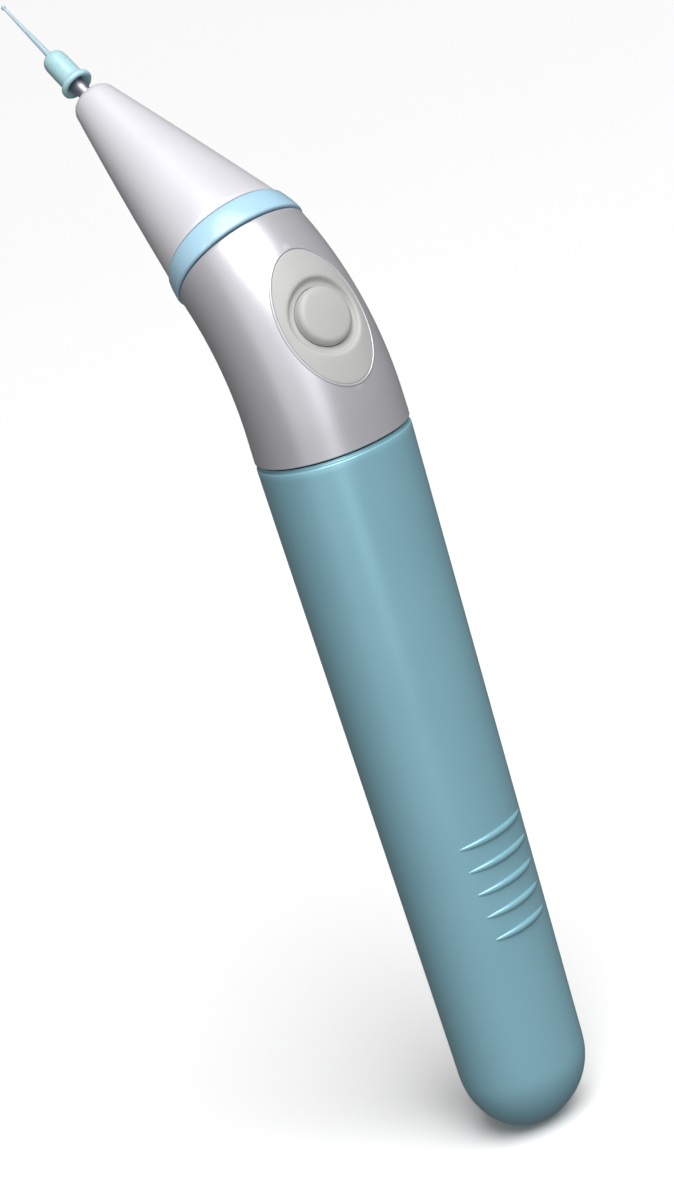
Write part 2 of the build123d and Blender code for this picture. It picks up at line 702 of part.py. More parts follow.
# ------------------------------------------------------------------
# Cell, its contacts and the strips that carry the current up to the board
# ------------------------------------------------------------------
wrap = 0.2
with BuildPart() as cell_can:
    with BuildSketch(Plane.XY.offset(cell_bottom)):
        Circle(cell_diameter / 2 - wrap)
    extrude(amount=cell_length - nub_height)
    with BuildSketch(Plane.XY.offset(-cell_top - nub_height)):
        Circle(nub_diameter / 2)
    extrude(amount=nub_height)
cell_can.part.label = "cell_can"
export_step(cell_can.part, "parts/cell_can.step")

with BuildPart() as cell_wrap:
    with BuildSketch(Plane.XY.offset(cell_bottom + 0.3)):
        Circle(cell_diameter / 2)
        Circle(cell_diameter / 2 - wrap, mode=Mode.SUBTRACT)
    extrude(amount=cell_length - nub_height - 0.3)
cell_wrap.part.label = "cell_wrap"
export_step(cell_wrap.part, "parts/cell_wrap.step")

with BuildPart() as cell_insulator:
    with BuildSketch(Plane.XY.offset(-cell_top - nub_height)):
        Circle(cell_diameter / 2 - 0.6)
        Circle(nub_diameter / 2 + 1, mode=Mode.SUBTRACT)
    extrude(amount=0.3)
cell_insulator.part.label = "cell_insulator"
export_step(cell_insulator.part, "parts/cell_insulator.step")

strip_across = 8.0
strip_width = 0.8
strip_thickness = 0.3
strip_top = 1.5
strip_base = rim_height + 0.02


def contact_strip(low, high, side):
    """A strip lying on the cradle's rim between two heights."""
    with BuildSketch(Plane.XY.offset(low)) as outline:
        with Locations((side * strip_across, strip_base + strip_thickness / 2)):
            Rectangle(strip_width, strip_thickness)
    extrude(outline.sketch, amount=high - low)


with BuildPart() as positive_contact:
    with BuildSketch(Plane.XY.offset(-cell_top)):
        Circle(cradle_inside - fit_gap)
        with Locations((0, rim_height + 10)):
            Rectangle(20, 20, mode=Mode.SUBTRACT)
        with Locations((-strip_across / 2, rim_height + 0.25)):
            Rectangle(strip_across + strip_width, 0.5)
    extrude(amount=plate)
positive_contact.part.label = "positive_contact"
export_step(positive_contact.part, "parts/positive_contact.step")

with BuildPart() as negative_contact:
    with BuildSketch(Plane.XY.offset(spring_end - plate)):
        Circle(cradle_inside - fit_gap)
        with Locations((0, rim_height + 10)):
            Rectangle(20, 20, mode=Mode.SUBTRACT)
        with Locations((strip_across / 2, rim_height + 0.25)):
            Rectangle(strip_across + strip_width, 0.5)
    extrude(amount=plate)
negative_contact.part.label = "negative_contact"
export_step(negative_contact.part, "parts/negative_contact.step")

with BuildPart() as positive_strip:
    contact_strip(-cell_top + plate, strip_top, -1)
positive_strip.part.label = "positive_strip"
export_step(positive_strip.part, "parts/positive_strip.step")

with BuildPart() as negative_strip:
    contact_strip(spring_end, strip_top, 1)
negative_strip.part.label = "negative_strip"
export_step(negative_strip.part, "parts/negative_strip.step")

spring_rise = spring_length - spring_wire - 0.04
with BuildPart() as cell_spring:
    with BuildLine(Plane.XY.offset(spring_end + spring_wire / 2 + 0.02)) as coil:
        Helix(pitch=spring_rise / 4, height=spring_rise, radius=4.2, cone_angle=-16)
    with BuildSketch(Plane(origin=coil.line @ 0, z_dir=coil.line % 0)):
        Circle(spring_wire / 2)
    sweep(path=coil.line)
cell_spring.part.label = "cell_spring"
export_step(cell_spring.part, "parts/cell_spring.step")

# ------------------------------------------------------------------
# Seal in the seam, chassis screws and wires
# ------------------------------------------------------------------
with BuildPart() as seam_seal:
    with BuildLine() as seal_path:
        add(section(-ring_seat, seal_inset).edges())
    with BuildSketch(Plane(origin=seal_path.line @ 0, z_dir=seal_path.line % 0)):
        Circle(ring_cord / 2)
    sweep(path=seal_path.line)
seam_seal.part.label = "seam_seal"
export_step(seam_seal.part, "parts/seam_seal.step")

screw_reach = 5.0            # into the housing's bosses
with BuildPart() as chassis_screws:
    with BuildSketch(Plane.XY.offset(floor_bottom)):
        with Locations((-post_across, post_along), (post_across, post_along)):
            Circle(screw_diameter / 2)
    extrude(amount=collar_top - floor_bottom + screw_reach)
    with BuildSketch(Plane.XY.offset(floor_bottom - 1.2)):
        with Locations((-post_across, post_along), (post_across, post_along)):
            Circle(screw_diameter * 0.9)
            Rectangle(1.8, 0.35, mode=Mode.SUBTRACT)
            Rectangle(0.35, 1.8, mode=Mode.SUBTRACT)
    extrude(amount=1.2)
chassis_screws.part.label = "chassis_screws"
export_step(chassis_screws.part, "parts/chassis_screws.step")

wire_diameter = 0.9
lead_diameter = 0.9


def pad_point(across, along, height):
    """A place given across the housing, up along it, and out from its centre line."""
    place = pad_plane(height)
    return place.origin + place.x_dir * across + place.y_dir * along


def head_point(across, ahead, back):
    """A place given across the head, ahead along its axis, and towards its back."""
    place = head_plane(ahead)
    return place.origin + place.x_dir * across + place.y_dir * back


for name, side in (("positive_wire", -1), ("negative_wire", 1)):
    with BuildPart() as wire:
        with BuildLine() as route:
            Spline(
                pad_point(side * 3.6, board_low + 4, board_top - board_thickness - wire_diameter / 2),
                pad_point(side * 4.0, board_low + 7, board_top - board_thickness - wire_diameter),
                pad_point(side * 4.2, board_low + 13, 0.2),
                head_point(side * 3.4, motor_back - end_bell - 3.6, 0.2),
                head_point(side * 3.2, motor_back - end_bell - 2.6, 0),
            )
        with BuildSketch(Plane(origin=route.line @ 0, z_dir=route.line % 0)):
            Circle(wire_diameter / 2)
        sweep(path=route.line)
    wire.part.label = name
    export_step(wire.part, "parts/" + name + ".step")

with BuildPart() as battery_leads:
    for side in (-1, 1):
        with BuildLine() as route:
            Spline(
                (side * strip_across, strip_base + strip_thickness / 2, strip_top + 0.02),
                (side * (strip_across - 0.3), strip_base - 0.8, strip_top + 2.5),
                pad_point(side * 5.2, board_low + 1.5, 0.2),
                pad_point(side * 4.2, board_low + 2.2, board_top - board_thickness - lead_diameter / 2),
            )
        with BuildSketch(Plane(origin=route.line @ 0, z_dir=route.line % 0)):
            Circle(lead_diameter / 2)
        sweep(path=route.line)
battery_leads.part.label = "battery_leads"
export_step(battery_leads.part, "parts/battery_leads.step")
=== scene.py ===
import bpy
import json
import math
from mathutils import Matrix, Vector


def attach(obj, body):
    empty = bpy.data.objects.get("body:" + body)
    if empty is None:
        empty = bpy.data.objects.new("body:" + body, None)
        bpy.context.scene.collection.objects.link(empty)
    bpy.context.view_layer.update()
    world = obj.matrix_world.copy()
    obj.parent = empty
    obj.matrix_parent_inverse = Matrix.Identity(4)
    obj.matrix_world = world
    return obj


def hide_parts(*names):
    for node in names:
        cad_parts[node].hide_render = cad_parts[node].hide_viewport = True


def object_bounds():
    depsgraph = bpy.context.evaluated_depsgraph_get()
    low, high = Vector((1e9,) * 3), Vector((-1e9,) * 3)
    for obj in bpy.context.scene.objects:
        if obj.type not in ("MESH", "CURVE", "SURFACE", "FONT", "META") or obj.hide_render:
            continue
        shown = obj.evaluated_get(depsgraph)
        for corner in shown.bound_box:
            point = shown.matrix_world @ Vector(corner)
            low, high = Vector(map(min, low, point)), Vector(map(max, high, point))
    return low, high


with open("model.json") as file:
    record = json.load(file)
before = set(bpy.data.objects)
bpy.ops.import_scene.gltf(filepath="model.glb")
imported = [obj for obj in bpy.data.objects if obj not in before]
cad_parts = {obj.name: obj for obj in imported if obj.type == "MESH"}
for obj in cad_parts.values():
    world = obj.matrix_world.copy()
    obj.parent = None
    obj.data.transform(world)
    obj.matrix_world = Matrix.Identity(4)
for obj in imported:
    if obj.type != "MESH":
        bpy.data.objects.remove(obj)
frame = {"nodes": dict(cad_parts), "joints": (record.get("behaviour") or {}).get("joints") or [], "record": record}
nodes = frame["nodes"]
cad_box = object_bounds()
joints = {joint["name"]: joint for joint in frame["joints"]}

# ------------------------------------------------------------------
# Sizes, in metres; the shell's formula is the same as the frame's
# ------------------------------------------------------------------
mm = 0.001
grip_length = 123.2 * mm
grip_half_width = 13.0 * mm
grip_end_half_width = 10.95 * mm
grip_end_height = 12.0 * mm
front_ratio = 0.95
back_ratio = 0.935
front_fullness = 0.10
bend_start = 3.9 * mm
bend_radius = 43.4 * mm
bend_angle = math.radians(43.9)
ring_start = 32.1 * mm
ring_width = 3.8 * mm
ring_half_width = 11.95 * mm
nose_length = 35.3 * mm
nose_half_width = 3.5 * mm
nose_rounding = 1.7 * mm
housing_swell = 0.21 * mm
nose_swell = 0.11 * mm
sleeve_wall = 1.5 * mm
housing_wall = 1.6 * mm
rib_count = 5
rib_first = 68.2 * mm
rib_spacing = 4.25 * mm
rib_height = 0.55 * mm
rib_width = 1.25 * mm
rib_spread_top = math.radians(37)
rib_spread_end = math.radians(30)
rib_turn = math.radians(7)
pad_place = 17.3 * mm
pad_half_width = 7.5 * mm
pad_half_length = 11.3 * mm
lip_gap = 0.06 * mm
lip_radius = 0.24 * mm
moat_width = 2.0 * mm
dome_radius = 4.75 * mm
dome_gap = 0.07 * mm
dome_proud = 0.15 * mm
dome_crown = 0.35 * mm
dome_rounding = 1.15 * mm
dome_side = 1.6 * mm         # straight side of the dome, below its rounding
dome_foot = 2.6 * mm         # how far down its wall goes inside the pad
opening_lift = 12 * mm       # middle of the tool that cuts the pad's opening
opening_depth = 16 * mm
probe_height = 30 * mm       # where a line down to the skin starts
hub_standoff = 2.9 * mm      # from the nose's face to the hub
hub_length = 7.6 * mm
pick_reach = 23.7 * mm       # from the nose's face to the end of the pick
pick_inside = 0.6 * mm       # length of the pick hidden in the hub
pick_ball = 0.42 * mm
around = 96                  # faces round each shell

nose_start = ring_start + ring_width
nose_end = nose_start + nose_length
bend_end = bend_start + bend_angle * bend_radius
head_origin = Vector(joints["rotor_spin"]["pos_m"])
pivot = Vector(joints["stem_orbit"]["pos_m"])
stem_axis = Vector(joints["stem_orbit"]["axis"])
pad_normal = -Vector(joints["button_press"]["axis"])
pivot_to_face = nose_end - bend_end - (pivot - head_origin).length
hub_back = pivot_to_face + hub_standoff
hub_front = hub_back + hub_length
pick_tip = pivot_to_face + pick_reach


# ------------------------------------------------------------------
# The outer skin as a formula
# ------------------------------------------------------------------
def spine(s):
    """Place (y, z) and turn of the centre line, s above the seam."""
    turn = min(max((s - bend_start) / bend_radius, 0), bend_angle)
    past = max(s - bend_end, 0)
    y = bend_radius * (1 - math.cos(turn)) + past * math.sin(turn)
    z = min(s, bend_start) + bend_radius * math.sin(turn) + past * math.cos(turn)
    return y, z, turn


def half_width(s):
    """Half width of the skin at s."""
    if s <= 0:
        narrowing = grip_end_half_width - grip_half_width
        taper = grip_half_width + narrowing * -s / grip_length
        into_end = max(-s - (grip_length - grip_end_height), 0) / grip_end_height
        return taper * math.sqrt(max(1 - into_end ** 2, 0))
    if s <= ring_start:
        part = s / ring_start
        swell = 4 * housing_swell * part * (1 - part)
        return grip_half_width + (ring_half_width - grip_half_width) * part + swell
    part = min((s - ring_start) / (nose_end - ring_start), 1)
    swell = nose_swell * math.sin(math.pi * part)
    return ring_half_width + (nose_half_width - ring_half_width) * part + swell


def skin_point(s, angle, out=0.0):
    """Point of the skin at s, turned by angle from the thumb side, moved outwards."""
    part = min(max((s - ring_start) / (nose_end - ring_start), 0), 1)
    ratio = front_ratio if math.cos(angle) > 0 else back_ratio
    ratio += (1 - ratio) * part
    wide = half_width(s)
    across = (wide + out) * math.sin(angle) * (1 + front_fullness * (1 - part) * math.cos(angle))
    depth = -(wide * ratio + out) * math.cos(angle)
    y, z, turn = spine(s)
    return Vector((across, y + depth * math.cos(turn), z - depth * math.sin(turn)))


def skin_normal(s, angle):
    """Outward direction of the skin."""
    step = 0.02 * mm
    along = skin_point(s + step, angle) - skin_point(s - step, angle)
    round_it = skin_point(s, angle + 0.002) - skin_point(s, angle - 0.002)
    return round_it.cross(along).normalized()


def spread(start, end, count):
    """Count evenly spaced values from start to end."""
    return [start + (end - start) * index / (count - 1) for index in range(count)]


# ------------------------------------------------------------------
# Modelling helpers
# ------------------------------------------------------------------
def edit(piece):
    """Opens a piece for editing with everything on it selected."""
    bpy.ops.object.select_all(action="DESELECT")
    piece.select_set(True)
    bpy.context.view_layer.objects.active = piece
    bpy.ops.object.mode_set(mode="EDIT")
    bpy.ops.mesh.select_all(action="SELECT")


def close_edit():
    """Leaves edit mode."""
    bpy.ops.object.mode_set(mode="OBJECT")


def rolled(name, rows, place, columns=around, whole=2 * math.pi, begin=0.0):
    """A grid rolled into a tube or a band: place(row, angle) gives each corner."""
    bpy.ops.object.select_all(action="DESELECT")
    bpy.ops.mesh.primitive_grid_add(x_subdivisions=columns, y_subdivisions=len(rows) - 1, size=1)
    piece = bpy.context.object
    piece.name = name
    for vertex in piece.data.vertices:
        row = rows[round((vertex.co.y + 0.5) * (len(rows) - 1))]
        vertex.co = place(row, begin + (vertex.co.x + 0.5) * whole)
    edit(piece)
    bpy.ops.mesh.remove_doubles(threshold=1e-6)
    bpy.ops.mesh.normals_make_consistent(inside=False)
    close_edit()
    return piece


def turned(name, rows, origin, axis, columns=48):
    """A turned shape: each row is (ahead, radius) along an axis."""
    across = Vector((1, 0, 0))
    up = axis.cross(across).normalized()

    def place(row, angle):
        ahead, radius = row
        return origin + axis * ahead + (across * math.sin(angle) + up * math.cos(angle)) * radius

    return rolled(name, rows, place, columns)


def modify(piece, kind, **settings):
    """Adds a modifier and applies it."""
    bpy.ops.object.select_all(action="DESELECT")
    piece.select_set(True)
    bpy.context.view_layer.objects.active = piece
    modifier = piece.modifiers.new(kind.title(), kind)
    for name, value in settings.items():
        setattr(modifier, name, value)
    bpy.ops.object.modifier_apply(modifier=modifier.name)


def smooth(piece, degrees=35):
    """Shades smooth, keeping edges sharper than the angle."""
    bpy.ops.object.select_all(action="DESELECT")
    piece.select_set(True)
    bpy.context.view_layer.objects.active = piece
    bpy.ops.object.shade_smooth_by_angle(angle=math.radians(degrees))


def finish_piece(piece, body, slot, material, *stands_for):
    """Gives a piece its body and its material, and hides the frame nodes that it stands for. The slot is not used.
    """
    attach(piece, body)
    piece.data.materials.clear()
    piece.data.materials.append(material)
    if stands_for:
        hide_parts(*stands_for)


# ------------------------------------------------------------------
# Shader helpers
# ------------------------------------------------------------------
class Signal:
    """A node's output that can be used in plain arithmetic."""

    def __init__(self, tree, socket):
        self.tree = tree
        self.socket = socket

    def combine(self, operation, first, second):
        node = self.tree.nodes.new("ShaderNodeMath")
        node.operation = operation
        for place, value in zip(node.inputs, (first, second)):
            join(self.tree, value, place)
        return Signal(self.tree, node.outputs[0])

    def __add__(self, other):
        return self.combine("ADD", self, other)

    def __sub__(self, other):
        return self.combine("SUBTRACT", self, other)

    def __mul__(self, other):
        return self.combine("MULTIPLY", self, other)

    __radd__ = __add__


def join(tree, value, place):
    """Sets a socket to a value, or links a signal to it."""
    if isinstance(value, Signal):
        tree.links.new(value.socket, place)
    else:
        place.default_value = value


class Finish:
    """A material under construction."""

    def __init__(self, name, **constants):
        self.material = bpy.data.materials.new(name)
        self.material.use_nodes = True
        self.tree = self.material.node_tree
        self.shader = self.tree.nodes["Principled BSDF"]
        for socket, value in constants.items():
            self.shader.inputs[socket.replace("_", " ")].default_value = value
        self.place = self.node("ShaderNodeTexCoord", {}, {}, "Object")

    def node(self, kind, settings, sockets, output=0):
        """Adds any node: settings first, then its sockets; returns one output."""
        node = self.tree.nodes.new(kind)
        for name, value in settings.items():
            setattr(node, name, value)
        for name, value in sockets.items():
            join(self.tree, value, node.inputs[name])
        return Signal(self.tree, node.outputs[output])

    def noise(self, scale, detail=3.0, roughness=0.5):
        """Noise from about 0.3 to 0.7 at a scale in features per metre."""
        sockets = {"Vector": self.place, "Scale": scale, "Detail": detail, "Roughness": roughness}
        return self.node("ShaderNodeTexNoise", {}, sockets, "Fac")

    def blend(self, factor, first, second):
        """Mixes two colours."""
        sockets = {0: factor, 6: first, 7: second}
        return self.node("ShaderNodeMix", {"data_type": "RGBA", "clamp_factor": True}, sockets, 2)

    def worn_edges(self, low=0.52, high=0.62):
        """Grows from 0 to 1 on convex edges."""
        point = self.node("ShaderNodeNewGeometry", {}, {}, "Pointiness")
        sockets = {"Value": point, "From Min": low, "From Max": high}
        return self.node("ShaderNodeMapRange", {"clamp": True}, sockets)

    def feed(self, socket, value):
        """Sends a signal or a value to the shader."""
        join(self.tree, value, self.shader.inputs[socket])

    def bump(self, height, strength, distance):
        """Raises the surface by a height signal."""
        sockets = {"Height": height, "Strength": strength, "Distance": distance}
        self.feed("Normal", self.node("ShaderNodeBump", {}, sockets))


def colour(red, green, blue):
    """Display colour, 0 to 255, as the linear value that nodes take."""
    parts = []
    for part in (red, green, blue):
        value = part / 255
        parts.append(value / 12.92 if value <= 0.04045 else ((value + 0.055) / 1.055) ** 2.4)
    return (*parts, 1.0)


def moulded(name, main, shade, rough=0.32, grain=0.04 * mm, coat=0.0, **constants):
    """Moulded plastic: soft clouds of tone, a fine spark-eroded grain and paler, rubbed edges."""
    finish = Finish(name, Coat_Roughness=0.25, **constants)
    clouds = finish.noise(55.0, 2.0)
    speck = finish.noise(2400.0, 2.0)
    wear = finish.worn_edges()
    tone = finish.blend(clouds * 0.7 + speck * 0.3, shade, main)
    pale = tuple(min(1.0, part * 1.25 + 0.03) for part in main[:3]) + (1.0,)
    finish.feed("Base Color", finish.blend(wear * 0.35, tone, pale))
    finish.feed("Roughness", rough + (speck - 0.5) * 0.10 + (clouds - 0.5) * 0.12 + wear * 0.06)
    finish.feed("Coat Weight", coat + clouds * 0.05)
    finish.bump(speck * 0.7 + finish.noise(700.0, 2.0) * 0.3, 0.12, grain)
    return finish.material


def soft_rubber(name, main, shade, rough=0.55):
    """Soft moulded rubber: matt, with a faint pebble and dust-pale edges."""
    finish = Finish(name, Sheen_Weight=0.15, Sheen_Roughness=0.5, Specular_IOR_Level=0.4)
    clouds = finish.noise(120.0, 3.0)
    pebble = finish.noise(3200.0, 2.0, 0.6)
    wear = finish.worn_edges()
    tone = finish.blend(clouds * 0.6 + pebble * 0.4, shade, main)
    pale = tuple(min(1.0, part * 1.15 + 0.02) for part in main[:3]) + (1.0,)
    finish.feed("Base Color", finish.blend(wear * 0.3, tone, pale))
    finish.feed("Roughness", rough + (pebble - 0.5) * 0.15)
    finish.bump(pebble, 0.18, 0.05 * mm)
    return finish.material


def metal(name, main, shade, rough=0.28, streaks=60.0):
    """Drawn or ground metal: fine streaks round the piece and a few dull patches."""
    finish = Finish(name, Metallic=1.0)
    sockets = {"Vector": finish.place, "Scale": (1, 1, streaks)}
    stretched = finish.node("ShaderNodeMapping", {}, sockets)
    sockets = {"Vector": stretched, "Scale": 140.0, "Detail": 3.0}
    lines = finish.node("ShaderNodeTexNoise", {}, sockets, "Fac")
    patches = finish.noise(260.0, 3.0)
    finish.feed("Base Color", finish.blend(patches * 0.6 + lines * 0.4, shade, main))
    finish.feed("Roughness", rough + (lines - 0.5) * 0.2 + (patches - 0.5) * 0.15)
    finish.bump(lines, 0.08, 0.02 * mm)
    return finish.material


def nylon(name, main, shade, rough=0.3):
    """Clear-ish moulded nylon: some light passes through, with faint flow marks."""
    finish = Finish(name, Transmission_Weight=0.35, IOR=1.5, Subsurface_Weight=0.25,
                    Subsurface_Scale=0.6 * mm)
    clouds = finish.noise(400.0, 3.0)
    finish.feed("Base Color", finish.blend(clouds, shade, main))
    finish.feed("Roughness", rough + (finish.noise(1800.0) - 0.5) * 0.15)
    finish.bump(clouds, 0.08, 0.03 * mm)
    return finish.material


shell_grey = moulded("shell_grey", colour(206, 205, 210), colour(194, 193, 199),
                     rough=0.34, coat=0.05, Metallic=0.45)
nose_white = moulded("nose_white", colour(218, 217, 222), colour(207, 206, 212),
                     rough=0.38, coat=0.05, Metallic=0.12)
teal = moulded("sleeve_teal", colour(144, 192, 206), colour(132, 181, 195),
               rough=0.32, coat=0.12, Metallic=0.24)
ring_blue = moulded("ring_blue", colour(176, 212, 232), colour(160, 200, 222),
                    rough=0.22, coat=0.25)
pad_grey = soft_rubber("pad_grey", colour(184, 184, 182), colour(172, 172, 170), rough=0.48)
hub_aqua = moulded("hub_aqua", colour(180, 216, 222), colour(162, 202, 210),
                   rough=0.3, Subsurface_Weight=0.2, Subsurface_Scale=1.0 * mm)
pick_nylon = nylon("pick_nylon", colour(196, 222, 234), colour(178, 204, 214))

SLOT_FINISHES = {
    "seal_rubber": soft_rubber("seal_rubber", colour(58, 60, 64), colour(44, 46, 50)),
    "stem_steel": metal("stem_steel", colour(196, 192, 204), colour(168, 164, 178), rough=0.45),
    "motor_steel": metal("motor_steel", colour(190, 190, 192), colour(160, 160, 164)),
    "magnet_grey": moulded("magnet_grey", colour(72, 72, 76), colour(58, 58, 62), rough=0.6),
    "bronze": metal("sintered_bronze", colour(184, 140, 92), colour(150, 108, 66), rough=0.45),
    "copper": metal("enamelled_copper", colour(196, 110, 66), colour(160, 80, 44), rough=0.3),
    "brass": metal("strip_brass", colour(206, 178, 112), colour(176, 146, 84)),
    "contact_steel": metal("contact_steel", colour(204, 204, 206), colour(176, 176, 180), rough=0.22),
    "frame_plastic": moulded("frame_plastic", colour(70, 76, 82), colour(58, 64, 70), rough=0.48),
    "black_nylon": moulded("black_nylon", colour(38, 38, 42), colour(28, 28, 32), rough=0.5),
    "white_acetal": moulded("white_acetal", colour(232, 232, 226), colour(216, 216, 210), rough=0.4),
    "board_green": moulded("board_green", colour(38, 104, 62), colour(28, 84, 50), rough=0.3, coat=0.3),
    "cell_wrap_grey": moulded("cell_wrap", colour(96, 104, 118), colour(80, 88, 102), rough=0.28, coat=0.2),
    "wire_red": soft_rubber("wire_red", colour(168, 40, 34), colour(140, 28, 24), rough=0.4),
    "wire_black": soft_rubber("wire_black", colour(34, 34, 36), colour(24, 24, 26), rough=0.4),
    "soft_pad": pad_grey,
    "housing_grey": shell_grey,
    "sleeve_teal": teal,
    "accent_blue": ring_blue,
    "tip_plastic": hub_aqua,
    "nylon": pick_nylon,
}

for part in frame["record"]["subparts"]:
    kept = nodes[part["node"]]
    kept.data.materials.clear()
    kept.data.materials.append(SLOT_FINISHES[part["material_slot"]])


# ------------------------------------------------------------------
# Grip sleeve with its lip, rounded end and ribs
# ------------------------------------------------------------------
def place_on_skin(row, angle):
    """Row is (place, how far out)."""
    return skin_point(row[0], angle, row[1])


def make_sleeve():
    """The grip: a stepped neck under the seam, a long taper and a closed, rounded end."""
    lip = [(0.24, -0.70), (0.27, -0.56), (0.40, -0.50), (0.66, -0.48),
           (0.72, -0.40), (0.75, -0.22), (0.82, -0.07), (1.0, 0.0)]
    rows = [(-depth * mm, out * mm) for depth, out in lip]
    shoulder = grip_length - grip_end_height
    rows += [(s, 0) for s in spread(-2.0 * mm, -shoulder, 40)]
    for turn in spread(5, 89.5, 22):
        rows.append((-shoulder - grip_end_height * math.sin(math.radians(turn)), 0))
    sleeve = rolled("grip_sleeve", rows, place_on_skin)
    edit(sleeve)
    bpy.ops.mesh.select_all(action="DESELECT")
    close_edit()
    bottom = min(vertex.co.z for vertex in sleeve.data.vertices)
    for vertex in sleeve.data.vertices:
        vertex.select = vertex.co.z < bottom + 1e-6
    bpy.ops.object.mode_set(mode="EDIT")
    bpy.ops.mesh.merge(type="CENTER")
    bpy.ops.mesh.select_all(action="SELECT")
    bpy.ops.mesh.normals_make_consistent(inside=False)
    close_edit()
    modify(sleeve, "SOLIDIFY", thickness=sleeve_wall, offset=-1.0)
    smooth(sleeve, 50)
    finish_piece(sleeve, "sleeve", "sleeve_teal", teal, "handle_sleeve")


def make_rib(index):
    """One crescent rib of the grip, fading out at both its ends."""
    middle = -rib_first - rib_spacing * index
    reach = rib_spread_top + (rib_spread_end - rib_spread_top) * index / (rib_count - 1)

    def place(row, angle):
        along = (angle - rib_turn) / reach
        fade = max(1 - along ** 2, 0)
        s = middle + row * rib_width / 2 * fade ** 0.5
        crown = max(1 - abs(row) ** 2.6, 0) ** 0.6
        out = rib_height * fade ** 0.85 * crown - 0.04 * mm
        return skin_point(s, angle) + skin_normal(s, angle) * out

    rows = [-1, -0.97, -0.88, -0.7, -0.45, -0.2, 0, 0.2, 0.45, 0.7, 0.88, 0.97, 1]
    rib = rolled("grip_rib_%d" % (index + 1), rows, place, 60, 2 * reach, rib_turn - reach)
    smooth(rib, 80)
    finish_piece(rib, "sleeve", "sleeve_teal", teal)


# ------------------------------------------------------------------
# Head housing, accent ring and nose
# ------------------------------------------------------------------
pad_y, pad_z, _ = spine(pad_place)
pad_centre = Vector((0, pad_y, pad_z))
pad_across = Vector((1, 0, 0))
pad_up = pad_normal.cross(pad_across).normalized()
pad_face = half_width(pad_place) * front_ratio


def pad_frame(height=0.0):
    """Matrix of the pad's own frame: X across, Y up the housing, Z out of it."""
    origin = pad_centre + pad_normal * height
    return Matrix((
        (pad_across.x, pad_up.x, pad_normal.x, origin.x),
        (pad_across.y, pad_up.y, pad_normal.y, origin.y),
        (pad_across.z, pad_up.z, pad_normal.z, origin.z),
        (0, 0, 0, 1),
    ))


def make_housing():
    """The bent head with its oval opening; gives back an uncut skin to measure on."""
    top = ring_start - 0.1 * mm
    rows = [(0.02 * mm, -0.30 * mm), (0.08 * mm, -0.12 * mm), (0.22 * mm, 0)]
    rows += [(s, 0) for s in spread(0.8 * mm, top - 0.8 * mm, 44)]
    rows += [(top - 0.25 * mm, 0), (top - 0.08 * mm, -0.08 * mm), (top, -0.3 * mm)]
    skin = rolled("skin_guide", rows, place_on_skin)
    smooth(skin, 60)
    housing = rolled("head_housing", rows, place_on_skin)
    modify(housing, "SOLIDIFY", thickness=housing_wall, offset=-1.0)
    bpy.ops.object.select_all(action="DESELECT")
    bpy.ops.mesh.primitive_cylinder_add(vertices=160, radius=1, depth=1)
    cutter = bpy.context.object
    opening = (pad_half_width + lip_gap, pad_half_length + lip_gap, opening_depth, 1)
    cutter.data.transform(pad_frame(opening_lift) @ Matrix.Diagonal(opening))
    modify(housing, "BOOLEAN", object=cutter, operation="DIFFERENCE", solver="EXACT")
    bpy.data.objects.remove(cutter)
    smooth(housing, 40)
    finish_piece(housing, "root", "housing_grey", shell_grey, "mid_housing")
    return skin


def on_skin(skin, across, along):
    """Height of the skin over the pad's frame at a place on it."""
    frame_matrix = pad_frame()
    start = frame_matrix @ Vector((across, along, probe_height))
    hit, place, _, _ = skin.ray_cast(start, -pad_normal)
    return (place - frame_matrix.translation).dot(pad_normal) if hit else pad_face


def make_pad(skin):
    """The soft oval pad, with a moat round the place of the dome."""
    inner = dome_radius + dome_gap
    groove = [(inner, -2.0), (inner, -1.3), (inner + 0.04 * mm, -1.16), (inner + 0.2 * mm, -1.1),
              (inner + 0.6 * mm, -1.06), (inner + 0.85 * mm, -0.96), (inner + 1.05 * mm, -0.72),
              (inner + 1.22 * mm, -0.42), (inner + 1.38 * mm, -0.2), (inner + 1.56 * mm, -0.08),
              (inner + 1.76 * mm, -0.02), (inner + moat_width, 0.0)]
    rows = [(radius, 0.0, height * mm) for radius, height in groove]
    outer = inner + moat_width
    rows += [(outer, part, 0.0) for part in (0.15, 0.35, 0.55, 0.75, 0.9, 0.96)]
    rows += [(outer, 0.985, -0.03 * mm), (outer, 1.0, -0.12 * mm), (outer, 1.0, -1.0 * mm)]

    def place(row, angle):
        radius, part, height = row
        across = (radius + (pad_half_width - radius) * part) * math.sin(angle)
        along = (radius + (pad_half_length - radius) * part) * math.cos(angle)
        return pad_frame(on_skin(skin, across, along) + height) @ Vector((across, along, 0))

    pad = rolled("thumb_pad", rows, place, 128)
    smooth(pad, 50)
    finish_piece(pad, "root", "soft_pad", pad_grey, "button_pad")


def make_lip(skin):
    """The rounded bead that frames the pad."""
    def place(row, angle):
        wide = pad_half_width + lip_gap + lip_radius * (0.75 + math.cos(row))
        long = pad_half_length + lip_gap + lip_radius * (0.75 + math.cos(row))
        across = wide * math.sin(angle)
        along = long * math.cos(angle)
        height = on_skin(skin, across, along) + lip_radius * (math.sin(row) - 0.5)
        return pad_frame(height) @ Vector((across, along, 0))

    lip = rolled("pad_lip", spread(0, 2 * math.pi, 13), place, 160)
    smooth(lip, 80)
    finish_piece(lip, "root", "housing_grey", shell_grey)


